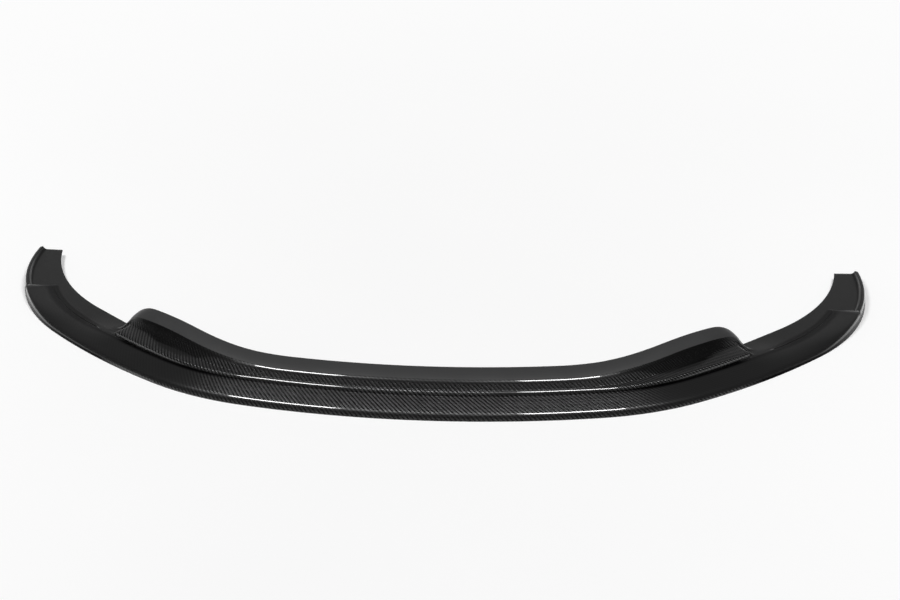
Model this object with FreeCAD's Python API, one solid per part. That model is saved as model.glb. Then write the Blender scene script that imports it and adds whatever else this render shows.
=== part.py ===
"""Bumper valance lip: one moulded carbon laminate shell, in millimetres.

The shell lies on its lower rim. X runs across the car, +Y points from the front edge to the
open side between the wings, +Z is up, and the origin is under the middle of the shell's box.
One section is carried along the plan line of the rim: rim, blade, step, riser or scoop,
crest, upper flange. Past the end of each fin the section becomes a wing: blade, joggle and
sunk mounting flange, and near the tip a pocket.
"""
import FreeCAD
import Part
import math
import os

# Plan line of the rim, from the middle to one tip: radius and turn of each arc
FRONT_RADIUS = 1554.0
FRONT_TURN_DEG = 11.56
SHOULDER_RADIUS = 516.0
SHOULDER_TURN_DEG = 20.88
FLANK_RADIUS = 1353.0
FLANK_TURN_DEG = 12.58
CORNER_RADIUS = 464.0
CORNER_TURN_DEG = 47.87

# Laminate and edge rounding
WALL = 2.6
RIM_ROUND = 3.0
CREST_ROUND = 4.5
ROUND_SHARE = 0.42

# Rim and blade: depths are measured inwards from the rim line, heights from the floor
RIM_HEIGHT = 10.5
RIM_LEAN = 3.6
BLADE_DEPTH_FRONT = 37.3
BLADE_DEPTH_FIN = 44.6
BLADE_TOP_FRONT = 27.2
BLADE_TOP_FIN = 22.6
BLADE_BOW = 0.6
ROLL_DEPTH = 14.0
ROLL_HEIGHT = 18.5

# Step on the blade and the riser behind it, with the place of its knee as shares of run and rise
RIDGE_HEIGHT = 34.2
STEP_RUN = 3.4
RISER_KNEE_SHARES = (0.36, 0.11)
SCOOP_KNEE_SHARES = (0.80, 0.12)

# Crest and upper flange, in the middle and at the fins
CREST_DEPTH_FRONT = 53.2
CREST_DEPTH_FIN = 87.7
CREST_HEIGHT_FRONT = 48.8
CREST_HEIGHT_FIN = 55.4
FLANGE_RUN_FRONT = 32.0
FLANGE_RUN_FIN = 25.0
FLANGE_RISE_FRONT = 10.0
FLANGE_RISE_FIN = 13.9
FLANGE_TIP_RUN = 1.6
FLANGE_BOW = 3.0

# Fin root, where crest and flange run into the inner edge of the wing
ROOT_DEPTH = 98.5
ROOT_HEIGHT = 20.5

# Wing, pocket and tip
WING_DEPTH = 104.8
TIP_DEPTH = 52.0
TAPER_POWER = 1.8
CREASE_DEPTH = 51.0
JOGGLE_RUN = 8.0
JOGGLE_DROP = 0.4
WING_FLOOR = 16.0
POCKET_WALL_HEIGHT = 20.0
POCKET_WALL_LEAN = 3.0
POCKET_RIM_DEPTH = 10.5
POCKET_RIM_HEIGHT = 22.2
POCKET_JOGGLE = 4.0
FLOOR_SHARES = (0.0, 0.33, 0.67, 1.0)

# Places along the rim line from the middle, and stretches beside them
SWEEP_START = 250.0
SWEEP_END = 574.0
BLADE_TURN_START = 330.0
FIN_END = 652.0
FIN_SKEW = 34.0
FIN_RAMP = 8.0
CREST_NOSE = 108.0
FLANGE_NOSE = 66.0
ROLL_START = 640.0
ROLL_END = 930.0
TAPER_START = 720.0
WALL_START = 790.0
CREASE_EASE = 130.0
POCKET_LENGTH = 205.3
POCKET_RAMP = 7.0

# Corners turn into the wing's one after the other: share of the skew for each
SKEW_SHARES = (0.0, 0.0, 0.0, 0.0, 0.45, 1.0, 1.0)

# Stations in each stretch of the rim line, and degree of the surfaces along it
FRONT_COUNT = 4
SWEEP_COUNT = 6
NOSE_COUNT = 4
SKEW_COUNT = 5
RAMP_COUNT = 2
WING_COUNT = 6
POCKET_COUNT = 2
TIP_COUNT = 4
ALONG_DEGREE = 3
BLADE_BAND = 1
FLANGE_BAND = 5

ARCS = (
    (FRONT_RADIUS, math.radians(FRONT_TURN_DEG)),
    (SHOULDER_RADIUS, math.radians(SHOULDER_TURN_DEG)),
    (FLANK_RADIUS, math.radians(FLANK_TURN_DEG)),
    (CORNER_RADIUS, math.radians(CORNER_TURN_DEG)),
)
OUTER_ROUNDS = (RIM_ROUND, 0.0, 0.0, 0.0, CREST_ROUND)
HALF_LENGTH = sum(radius * turn for radius, turn in ARCS)
CREST_END = FIN_END + FIN_SKEW
POCKET_START = HALF_LENGTH - POCKET_LENGTH
POCKET_FULL = POCKET_START + POCKET_RAMP


def mix(first, last, share):
    """Value that is first at share 0 and last at share 1."""
    return first + (last - first) * share


def ramp(value, start, end):
    """Share of the way from start to end, held between 0 and 1."""
    return min(max((value - start) / (end - start), 0.0), 1.0)


def ease(value, start, end):
    """Smooth share that leaves start and reaches end with no slope."""
    share = ramp(value, start, end)
    return share * share * (3.0 - 2.0 * share)


def nose(share):
    """Quarter of an ellipse: 1 at share 0, falling to 0 at share 1."""
    return math.sqrt(max(1.0 - share * share, 0.0))


def rim_point(station):
    """Plan place and heading of the rim line at a station on the +X side."""
    x = 0.0
    y = 0.0
    heading = 0.0
    left = station
    for radius, turn in ARCS:
        length = min(left, radius * turn)
        after = heading + length / radius
        x += radius * (math.sin(after) - math.sin(heading))
        y += radius * (math.cos(heading) - math.cos(after))
        heading = after
        left -= length
    return x, y, heading


def flange_width(station):
    """Share of the flange's full width: 1 along the fins, 0 where they end."""
    return nose(ramp(station, CREST_END - FLANGE_NOSE, CREST_END))


def front_corners(station):
    """Corners of the section between the two fins, as (depth, height)."""
    fin = ease(station, SWEEP_START, SWEEP_END)
    turn = ease(station, BLADE_TURN_START, FIN_END)
    blade = (mix(BLADE_DEPTH_FRONT, BLADE_DEPTH_FIN, turn), mix(BLADE_TOP_FRONT, BLADE_TOP_FIN, turn))
    ridge = (blade[0] + STEP_RUN, RIDGE_HEIGHT)
    fall = ramp(station, CREST_END - CREST_NOSE, CREST_END)
    crest_depth = mix(mix(CREST_DEPTH_FRONT, CREST_DEPTH_FIN, fin), ROOT_DEPTH, fall * fall)
    crest_height = mix(ROOT_HEIGHT, mix(CREST_HEIGHT_FRONT, CREST_HEIGHT_FIN, fin), nose(fall))
    knee_run = mix(RISER_KNEE_SHARES[0], SCOOP_KNEE_SHARES[0], fin)
    knee_rise = mix(RISER_KNEE_SHARES[1], SCOOP_KNEE_SHARES[1], fin)
    knee = (mix(ridge[0], crest_depth, knee_run), mix(ridge[1], crest_height, knee_rise))
    width = flange_width(station)
    run = mix(FLANGE_RUN_FRONT, FLANGE_RUN_FIN, fin) * width + FLANGE_TIP_RUN
    rise = mix(FLANGE_RISE_FRONT, FLANGE_RISE_FIN, fin) * width
    edge = (crest_depth + run, crest_height + rise)
    return [(0.0, 0.0), (RIM_LEAN, RIM_HEIGHT), blade, ridge, knee, (crest_depth, crest_height), edge]


def wing_corners(station):
    """Corners of a wing section: rim, blade up to the crease, joggle, sunk floor."""
    rise = ease(station, WALL_START, POCKET_START)
    rim_top = (mix(RIM_LEAN, POCKET_WALL_LEAN, rise), mix(RIM_HEIGHT, POCKET_WALL_HEIGHT, rise))
    settle = ease(station, FIN_END, FIN_END + CREASE_EASE)
    foot_height = mix(BLADE_TOP_FIN - JOGGLE_DROP, WING_FLOOR, settle)
    crease = (mix(BLADE_DEPTH_FIN, CREASE_DEPTH, settle), foot_height + JOGGLE_DROP)
    return [(0.0, 0.0), rim_top, crease] + level_floor(station, crease[0] + JOGGLE_RUN, foot_height)


def pocket_corners(station):
    """Corners of a pocket section: outer wall, its top edge, sunk floor that reaches out to it."""
    wall = (POCKET_WALL_LEAN, POCKET_WALL_HEIGHT)
    top = (POCKET_RIM_DEPTH, POCKET_RIM_HEIGHT)
    return [(0.0, 0.0), wall, top] + level_floor(station, POCKET_RIM_DEPTH + POCKET_JOGGLE, WING_FLOOR)


def level_floor(station, foot, foot_height):
    """Corners of the floor, from its foot to the inner edge of the tapering wing."""
    taper = ramp(station, TAPER_START, HALF_LENGTH) ** TAPER_POWER
    inner = mix(WING_DEPTH, TIP_DEPTH, taper)
    return [
        (mix(foot, inner, share), mix(foot_height, WING_FLOOR, share))
        for share in FLOOR_SHARES
    ]


def section_corners(station):
    """Corners of the section at a station: front, then wing, then pocket."""
    front = front_corners(min(station, CREST_END))
    wing = wing_corners(station)
    pocket = pocket_corners(station)
    to_pocket = ease(station, POCKET_START, POCKET_FULL)
    corners = []
    for skew, a, b, c in zip(SKEW_SHARES, front, wing, pocket):
        to_wing = ease(station - FIN_SKEW * skew, FIN_END, FIN_END + FIN_RAMP)
        depth = mix(mix(a[0], b[0], to_wing), c[0], to_pocket)
        height = mix(mix(a[1], b[1], to_wing), c[1], to_pocket)
        corners.append((depth, height))
    return corners


def sunk_corners(corners, depth):
    """Corners of the inner skin: each one moved along its mitre by the laminate's depth."""
    normals = []
    for a, b in zip(corners, corners[1:]):
        run = b[0] - a[0]
        rise = b[1] - a[1]
        length = math.hypot(run, rise)
        normals.append((-rise / length, run / length))
    sunk = [(corners[0][0] + depth, corners[0][1])]
    for corner, before, after in zip(corners[1:-1], normals, normals[1:]):
        reach = depth / (1.0 + before[0] * after[0] + before[1] * after[1])
        sunk.append((corner[0] - reach * (before[0] + after[0]), corner[1] - reach * (before[1] + after[1])))
    last = normals[-1]
    sunk.append((corners[-1][0] - depth * last[0], corners[-1][1] - depth * last[1]))
    return sunk


def toward(here, other, size):
    """Point at a distance size from here on the run to other, or nearer on a short run."""
    length = math.hypot(other[0] - here[0], other[1] - here[1])
    share = min(size / length, ROUND_SHARE)
    return mix(here[0], other[0], share), mix(here[1], other[1], share)


def halfway(corners, band, rise):
    """Point above the middle of a band between two corners."""
    depth = (corners[band][0] + corners[band + 1][0]) / 2.0
    height = (corners[band][1] + corners[band + 1][1]) / 2.0
    return depth, height + rise


def band_pulls(station, corners, sink):
    """Points that draw two bands out of the straight: blade and upper flange.

    The blade's point lies just above its middle in front, and near the rim on the wings.
    """
    depth, height = halfway(corners, BLADE_BAND, BLADE_BOW)
    roll = ease(station, ROLL_START, ROLL_END) * (1.0 - ease(station, POCKET_START, POCKET_FULL))
    blade = (mix(depth, ROLL_DEPTH + sink, roll), mix(height, ROLL_HEIGHT - sink, roll))
    flange = halfway(corners, FLANGE_BAND, FLANGE_BOW * flange_width(station))
    return {BLADE_BAND: blade, FLANGE_BAND: flange}


def section_strips(corners, rounds, pulls):
    """Control points across the section, strip by strip: bands, with rounded corners between them.

    A band runs straight between two corners, or is bowed towards its pull point. A rounded corner
    is an arc that leaves the band before it and joins the band after it without a kink; one of
    size 0 stays sharp.
    """
    strips = []
    start = corners[0]
    for index, size in enumerate(rounds, start=1):
        here = corners[index]
        before = pulls.get(index - 1)
        after = pulls.get(index)
        into = toward(here, before or corners[index - 1], size)
        out = toward(here, after or corners[index + 1], size)
        strips.append([start, before, into] if before else [start, into])
        if size:
            strips.append([into, here, out])
        start = out
    strips.append([start, pulls[len(rounds)], corners[-1]])
    return strips


def stations():
    """Stations of one half, closer together where the section changes quickly."""
    stretches = (
        (SWEEP_START, FRONT_COUNT),
        (FIN_END - CREST_NOSE, SWEEP_COUNT),
        (FIN_END, NOSE_COUNT),
        (CREST_END, SKEW_COUNT),
        (CREST_END + FIN_RAMP, RAMP_COUNT),
        (POCKET_START, WING_COUNT),
        (POCKET_FULL, POCKET_COUNT),
        (HALF_LENGTH, TIP_COUNT),
    )
    places = [0.0]
    for end, count in stretches:
        start = places[-1]
        places += [mix(start, end, (step + 1) / count) for step in range(count)]
    return places


def skin_strips(sink, rounds):
    """Strips of one skin from tip to tip, sunk below the outer one: each is a list of rows along the rim."""
    half = []
    for station in stations():
        corners = section_corners(station)
        if sink:
            corners = sunk_corners(corners, sink)
        x, y, heading = rim_point(station)
        section = []
        for strip in section_strips(corners, rounds, band_pulls(station, corners, sink)):
            section.append([
                FreeCAD.Vector(x - math.sin(heading) * depth, y + math.cos(heading) * depth, height)
                for depth, height in strip
            ])
        half.append(section)
    strips = []
    for index in range(len(half[0])):
        columns = [section[index] for section in half]
        mirrored = [[FreeCAD.Vector(-p.x, p.y, p.z) for p in column] for column in columns[:0:-1]]
        strips.append([list(row) for row in zip(*(mirrored + columns))])
    return strips


def clamped(count, degree):
    """Even knots and their multiplicities for a curve that ends on its first and last points."""
    spans = count - degree
    knots = [float(i) for i in range(spans + 1)]
    mults = [degree + 1] + [1] * (spans - 1) + [degree + 1]
    return knots, mults


def strip_face(rows):
    """Smooth face over the rows of one strip."""
    along_knots, along_mults = clamped(len(rows[0]), ALONG_DEGREE)
    across = len(rows) - 1
    across_knots, across_mults = clamped(len(rows), across)
    surface = Part.BSplineSurface()
    surface.buildFromPolesMultsKnots(
        rows, across_mults, along_mults, across_knots, along_knots, False, False, across, ALONG_DEGREE
    )
    return surface.toShape()


def row_edge(row):
    """Smooth edge over one row along the rim line."""
    knots, mults = clamped(len(row), ALONG_DEGREE)
    curve = Part.BSplineCurve()
    curve.buildFromPolesMultsKnots(row, mults, knots, False, ALONG_DEGREE)
    return curve.toShape()


def rim_foot(first, second):
    """Flat face on the floor between the rim's outer and inner rows."""
    ends = [Part.LineSegment(first[i], second[i]).toShape() for i in (0, -1)]
    return Part.Face(Part.Wire(Part.__sortEdges__([row_edge(first), row_edge(second)] + ends)))


def tip_face(outer, inner, end):
    """Flat cut face across one tip, bounded by the ends of all strips."""
    edges = []
    for strip in outer + inner:
        curve = Part.BezierCurve()
        curve.setPoles([row[end] for row in strip])
        edges.append(curve.toShape())
    edges.append(Part.LineSegment(outer[0][0][end], inner[0][0][end]).toShape())
    edges.append(Part.LineSegment(outer[-1][-1][end], inner[-1][-1][end]).toShape())
    return Part.Face(Part.Wire(Part.__sortEdges__(edges)))


def valance_lip():
    """The whole shell as one solid, moved so that the origin is under the middle of its box."""
    outer = skin_strips(0.0, OUTER_ROUNDS)
    inner = skin_strips(WALL, [0.0] * len(OUTER_ROUNDS))
    faces = [strip_face(strip) for strip in outer + inner]
    faces.append(rim_foot(outer[0][0], inner[0][0]))
    faces.append(Part.makeRuledSurface(row_edge(outer[-1][-1]), row_edge(inner[-1][-1])))
    faces += [tip_face(outer, inner, end) for end in (0, -1)]
    shell = Part.makeShell(faces)
    shell.sewShape()
    solid = Part.makeSolid(Part.Shell(shell.Faces))
    if solid.Volume < 0:
        solid.reverse()
    box = solid.optimalBoundingBox(False, False)
    solid.translate(FreeCAD.Vector(0.0, -(box.YMin + box.YMax) / 2.0, 0.0))
    return solid


os.makedirs("parts", exist_ok=True)
LIP = valance_lip()
LIP.exportStep("parts/valance_lip.step")
BOX = LIP.optimalBoundingBox(False, False)
print("valid", LIP.isValid(), "solids", len(LIP.Solids), "volume", round(LIP.Volume))
print("box", [round(v, 2) for v in (BOX.XMin, BOX.XMax, BOX.YMin, BOX.YMax, BOX.ZMin, BOX.ZMax)])
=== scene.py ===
"""Bumper valance lip: a clear-coated twill carbon shell on a pale studio floor."""
import math

import bpy
import numpy as np
from mathutils import Matrix, Vector


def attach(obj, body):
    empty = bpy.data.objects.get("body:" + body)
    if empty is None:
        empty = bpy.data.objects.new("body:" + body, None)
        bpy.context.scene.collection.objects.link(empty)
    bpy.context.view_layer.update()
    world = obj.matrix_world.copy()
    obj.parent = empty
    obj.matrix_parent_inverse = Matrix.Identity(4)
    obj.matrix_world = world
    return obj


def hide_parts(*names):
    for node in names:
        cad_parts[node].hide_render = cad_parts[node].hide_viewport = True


bl_info = {
    "name": "Bumper Valance Lip",
    "version": (1, 0, 0),
    "blender": (4, 5, 0),
    "location": "3D View > Sidebar > Valance Lip",
    "description": "Carbon lip shell, carried along the plan line of its rim, with its studio",
    "category": "Object",
}

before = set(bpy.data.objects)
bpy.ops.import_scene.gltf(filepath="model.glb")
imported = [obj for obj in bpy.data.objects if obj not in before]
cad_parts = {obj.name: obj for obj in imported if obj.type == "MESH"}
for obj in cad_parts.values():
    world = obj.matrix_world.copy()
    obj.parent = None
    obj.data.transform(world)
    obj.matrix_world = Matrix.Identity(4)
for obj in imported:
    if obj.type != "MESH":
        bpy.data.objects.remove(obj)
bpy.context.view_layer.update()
SHELL_NODE = "valance_lip"

# Corners of the section's loop: those of the outer skin in order, then two of the inner skin
FOOT, RIM, STEP, RIDGE, KNEE, CREST, EDGE = range(7)
INNER_CREST = 8
INNER_FOOT = 13
# Bands after these corners are drawn out of the straight, on the outer and the inner skin
BLADE_BANDS = (1, 11)
FLANGE_BANDS = (5, 7)
# Steps along the half rim line in each stretch, and round the loop in each band and rounded corner
STRETCH_STEPS = (38, 66, 40, 52, 14, 80, 16, 46)
NOSE_STRETCH = 3
BAND_STEPS = (3, 9, 2, 4, 4, 5, 1, 5, 4, 4, 2, 9, 3, 1)
ROUND_STEPS = (3, 5, 5, 5, 6, 7, 3, 3, 7, 6, 4, 4, 4, 3)
# Places of the level floor's corners across a wing, and how late each outer corner turns into the wing's
FLOOR_SHARES = (0.0, 0.33, 0.67, 1.0)
SKEW_SHARES = (0.0, 0.0, 0.0, 0.0, 0.45, 1.0, 1.0)
# Most of the run beside a corner that its rounding takes, and how far the skins draw together at a tip
ROUND_SHARE = 0.42
RIDGE_ROUND_SHARE = 0.80
TIP_ROUND_SHARE = 0.18

# Stretches in which bands of finish and of painted light and shade fade, in metres, and the fin's foot in
# shares of the fin's skew
LIP_FADE = 0.004
GLEAM_FADE = 0.05
LENS_HOLD = 0.03
FIN_FOOT_SHARES = (0.0, 0.3, 1.0, 1.6)
# Strength of the bands: uncoated crease, painted shade on the step across the middle, and an even dark tone
# in place of the weave on faces, as painted shade, and on rounds
CREASE_BARE = 0.8
STEP_SHADE = 0.1
EVEN_SHADE_MOST = 0.95
CREST_EVEN_TONE = 0.8
RIM_EVEN_TONE = 0.5
RIDGE_EVEN_TONE = 0.9
# Painted shade and dark reflection under the fin's crest: its reach down the scoop, its soft edge, and how
# dark it is from start to end
LENS_REACH = (0.78, 0.36)
LENS_EDGE = (-0.10, 0.02)
LENS_SHADE = (0.45, 0.95)

# Order of the shell's materials
COATED, RAW, CUT = range(3)
# Tows: share of height lost at the ends of a float, and share of the colour that differs from tow to tow
TOW_DIP = 0.6
TOW_TONE = 0.18
COAT_IOR = 1.6
# Noises, in cells to the metre, and how far each roughness swings with its noise
HAZE_SCALE = 18.0
POOL_SCALE = 60.0
GRAIN_SCALE = 900.0
MOTTLE_SCALE = 1.3
FIBRE_SWING = 0.06
SATIN_SWING = 0.10
RAW_SWING = 0.30
CUT_SWING = 0.25
# Darkest and lightest shade of each uneven colour
RAW_SHADES = (0.55, 1.7)
CUT_SHADES = (0.6, 1.9)
FLOOR_SHADES = (1.0, 1.03)
# Weights of cloth and resin in the raw side's tone and relief, and of ply, grain and base in the cut's tone
RAW_TONE = (0.25, 0.8)
RAW_RELIEF = (0.8, 1.6)
CUT_TONE = (0.25, 0.6, 0.2)
CUT_RELIEF = 0.00005

# Studio: points round the floor, its matt paint, and the depths between which a gloss starts to see it
FLOOR_POINTS = 96
FLOOR_ROUGHNESS = 0.9
FLOOR_SEEN = (-0.2, 1.2)
# Directions of the room between which each light fades, as their height or depth out of 1
BACKDROP_HEIGHT = (0.0, 0.16)
BACKDROP_DEPTH = (0.0, 0.6)
BACKDROP_FRONT = 0.05
WALL_HEIGHT = (0.45, 0.75)
WALL_DEPTH = (0.1, 0.8)
SENSOR_WIDTH = 36.0
WHITE = (1.0, 1.0, 1.0, 1.0)


def length(name, default, description):
    """Length property in metres."""
    return bpy.props.FloatProperty(
        name=name,
        description=description,
        default=default,
        min=0.0,
        precision=4,
        subtype="DISTANCE",
        unit="LENGTH",
    )


def angle(name, degrees, description):
    """Angle property, given in degrees and kept in radians."""
    return bpy.props.FloatProperty(
        name=name, description=description, default=math.radians(degrees), subtype="ANGLE", unit="ROTATION"
    )


def share(name, default, description):
    """Property that is a share from 0 to 1."""
    return bpy.props.FloatProperty(
        name=name, description=description, default=default, min=0.0, max=1.0, subtype="FACTOR"
    )


def colour(name, default, description):
    """Linear colour property."""
    return bpy.props.FloatVectorProperty(
        name=name, description=description, default=default, min=0.0, max=1.0, size=3, subtype="COLOR"
    )


def point(name, default, description):
    """Point property in metres."""
    return bpy.props.FloatVectorProperty(
        name=name, description=description, default=default, size=3, subtype="XYZ", unit="LENGTH"
    )


def amount(name, default, description):
    """Plain number property that isn't negative."""
    return bpy.props.FloatProperty(name=name, description=description, default=default, min=0.0)


class LipPlan(bpy.types.PropertyGroup):
    """Plan line of the rim and the places along it."""

    front_radius: length("Front radius", 1.5540, "Radius of the rim line across the middle")
    front_turn: angle("Front turn", 11.56, "Turn of the rim line across half of the middle")
    shoulder_radius: length("Shoulder radius", 0.5160, "Radius of the rim line in front of the fins")
    shoulder_turn: angle("Shoulder turn", 20.88, "Turn of the rim line in front of the fins")
    flank_radius: length("Flank radius", 1.3530, "Radius of the rim line along the wings")
    flank_turn: angle("Flank turn", 12.58, "Turn of the rim line along the wings")
    corner_radius: length("Corner radius", 0.4640, "Radius of the rim line round the corners")
    corner_turn: angle("Corner turn", 47.87, "Turn of the rim line round the corners")
    sweep_start: length("Sweep start", 0.2500, "Where crest and flange start to draw in towards the fin")
    sweep_end: length("Sweep end", 0.5740, "Where the fin has its full form")
    blade_turn_start: length("Blade turn start", 0.330, "Where the blade starts to widen")
    gleam_start: length("Gleam start", 0.1000, "Where the ridge's clear coat turns smooth")
    gleam_end: length("Gleam end", 0.3600, "Where the ridge's clear coat shows the cloth again")
    # The blade beside the fins takes painted shade: an even dark tone in place of the weave
    even_shade_start: length("Drown start", 0.3500, "Where the blade's clear coat starts to hide the cloth")
    even_shade_full: length("Drown full", 0.4600, "Where the blade's clear coat has hidden the cloth")
    # Places of the painted shade and dark reflection under the fin's crest
    lens_start: length("Lens start", 0.3600, "Where the shade under the fin's crest starts")
    lens_full: length("Lens full", 0.5000, "Where the shade reaches furthest down the scoop")
    lens_end: length("Lens end", 0.6050, "Where the shade draws back under the crest")
    fin_end: length("Fin end", 0.6520, "Where the step at the fin's foot ends")
    fin_skew: length("Fin skew", 0.0340, "How much further the crest runs than the step")
    fin_ramp: length("Fin ramp", 0.008, "Stretch in which the step turns into the wing's joggle")
    crest_nose: length("Crest nose", 0.1080, "Stretch in which the crest falls at the fin's end")
    flange_nose: length("Flange nose", 0.0660, "Stretch in which the flange narrows at the fin's end")
    roll_start: length("Roll start", 0.640, "Where the blade starts to roll over towards the rim")
    roll_end: length("Roll end", 0.930, "Where the blade is fully rolled over")
    taper_start: length("Taper start", 0.720, "Where the wing starts to narrow")
    crease_ease: length("Crease ease", 0.130, "Stretch in which the crease settles behind the fin")
    wall_start: length("Wall start", 0.790, "Where the rim starts to rise into the pocket's wall")
    pocket_start: length("Pocket start", 0.9810, "Where the pocket starts")
    pocket_ramp: length("Pocket ramp", 0.007, "Stretch in which the wing turns into the pocket")


class LipSection(bpy.types.PropertyGroup):
    """Section of the shell: depths run in from the rim line, heights up from the floor."""

    wall: length("Wall", 0.0026, "Thickness of the laminate")
    rim_height: length("Rim height", 0.0105, "Height of the upright rim")
    rim_lean: length("Rim lean", 0.0036, "How far the rim leans in at its top")
    blade_depth_front: length("Blade depth, middle", 0.0373, "Depth of the blade across the middle")
    blade_depth_fin: length("Blade depth, fins", 0.0472, "Depth of the blade at the fins")
    blade_top_front: length("Blade top, middle", 0.0272, "Height of the blade's back across the middle")
    blade_top_fin: length("Blade top, fins", 0.0226, "Height of the blade's back at the fins")
    blade_bow: length("Blade bow", 0.0006, "Rise of the blade above a straight line")
    roll_depth: length("Roll depth", 0.0140, "Depth of the point that rolls the blade over on the wings")
    roll_height: length("Roll height", 0.0185, "Height of the point that rolls the blade over on the wings")
    ridge_height: length("Ridge height", 0.0342, "Height of the step's top edge")
    step_run_front: length("Step run, middle", 0.0034, "Lean of the step across the middle")
    step_run_fin: length("Step run, fins", 0.0008, "Lean of the step at the fins")
    riser_knee_run: share("Riser knee run", 0.36, "Place of the riser's knee across the middle")
    riser_knee_rise: share("Riser knee rise", 0.11, "Height of the riser's knee across the middle")
    scoop_knee_run: share("Scoop knee run", 0.80, "Place of the scoop's floor in the fins")
    scoop_knee_rise: share("Scoop knee rise", 0.12, "Height of the scoop's floor in the fins")
    crest_depth_front: length("Crest depth, middle", 0.0532, "Depth of the crest across the middle")
    crest_depth_fin: length("Crest depth, fins", 0.0877, "Depth of the crest at the fins")
    crest_height_front: length("Crest height, middle", 0.0488, "Height of the crest across the middle")
    crest_height_fin: length("Crest height, fins", 0.0554, "Height of the crest at the fins")
    flange_run_front: length("Flange run, middle", 0.0320, "Width of the upper flange across the middle")
    flange_rise_front: length("Flange rise, middle", 0.0100, "Rise of the upper flange across the middle")
    flange_run_fin: length("Flange run, fins", 0.0250, "Width of the upper flange at the fins")
    flange_rise_fin: length("Flange rise, fins", 0.0139, "Rise of the upper flange at the fins")
    flange_bow: length("Flange bow", 0.0030, "How far the upper flange is drawn up out of the flat")
    flange_tip_run: length("Flange tip", 0.0016, "Width of the flange where it ends")
    root_depth: length("Root depth", 0.0985, "Depth of the fin's root")
    root_height: length("Root height", 0.0205, "Height of the fin's root")
    wing_depth: length("Wing depth", 0.1048, "Depth of the wing behind the fin")
    tip_depth: length("Tip depth", 0.0520, "Depth of the wing at its tip")
    taper_power: amount("Taper power", 1.8, "How late the wing narrows")
    crease_depth: length("Crease depth", 0.0510, "Depth of the crease on the wing")
    joggle_run: length("Joggle run", 0.0080, "Width of the joggle behind the crease")
    joggle_drop: length("Joggle drop", 0.0004, "How far the floor lies below the crease")
    wing_floor: length("Wing floor", 0.0160, "Height of the sunk flange on the wing and in the pocket")
    pocket_wall_height: length("Pocket wall height", 0.0200, "Height of the pocket's outer wall")
    pocket_wall_lean: length("Pocket wall lean", 0.0030, "Lean of the pocket's outer wall")
    pocket_rim_depth: length("Pocket rim depth", 0.0105, "Depth of the pocket's top edge")
    pocket_rim_height: length("Pocket rim height", 0.0222, "Height of the pocket's top edge")
    pocket_joggle: length("Pocket joggle", 0.0040, "Lean of the pocket's inner wall")
    rim_round: length("Rim round", 0.0050, "Rounding of the rim's top edge")
    step_round: length("Step round", 0.0004, "Rounding at the foot of the step")
    ridge_round: length("Ridge round", 0.0038, "Rounding of the step's top edge")
    knee_round: length("Knee round", 0.0004, "Rounding of the riser's knee across the middle")
    scoop_round: length("Scoop round", 0.0015, "Rounding of the scoop in the fins")
    wing_round: length("Wing round", 0.0060, "Rounding of the crease and the joggle on the wings")
    crest_round: length("Crest round", 0.0038, "Rounding of the crest")
    hollow_round: length("Hollow round", 0.0008, "Rounding of the sharp corners on the hollow side")
    cut_round: length("Cut round", 0.0005, "Rounding of the trimmed edges")


class LipFinish(bpy.types.PropertyGroup):
    """Cloth, resin and clear coat, and the colours painted as light and shade."""

    tow_width: length("Tow width", 0.0020, "Width of one tow of the cloth")
    crown: length("Tow crown", 0.00017, "Height of a tow's crown")
    warp_colour: colour("Warp colour", (0.080, 0.080, 0.081), "Tows that run from rim to flange")
    # The weft's colour is also the colour of the painted shade
    weft_and_shade_colour: colour("Weft colour", (0.002, 0.002, 0.00205), "Tows that run along the rim")
    # Even dark tone in place of the weave, painted as shade on the wings and beside the fins
    even_tone_and_shade_colour: colour("Drowned colour", (0.020, 0.020, 0.0202), "Cloth that lies deep in resin")
    # Also painted as light on the pocket's lip
    keyed_and_painted_light_colour: colour("Keyed colour", (0.040, 0.040, 0.0405), "Filled faces keyed for bonding")
    fibre_gloss: share("Fibre gloss", 0.7, "Share of mirror-like fibres in the light tows")
    fibre_roughness: share("Fibre roughness", 0.34, "Roughness of the fibres under the coat")
    keyed_roughness: share("Keyed roughness", 0.38, "Roughness of the faces keyed for bonding")
    coat_roughness: share("Coat roughness", 0.03, "Roughness of the clear coat")
    raw_colour: colour("Raw colour", (0.020, 0.0205, 0.022), "Uncoated laminate on the hollow side")
    raw_roughness: share("Raw roughness", 0.53, "Roughness of the hollow side")
    cut_colour: colour("Cut colour", (0.016, 0.016, 0.017), "Trimmed edges")
    cut_roughness: share("Cut roughness", 0.475, "Roughness of the trimmed edges")
    ply: length("Ply", 0.00065, "Thickness of one ply of the laminate")


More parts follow.
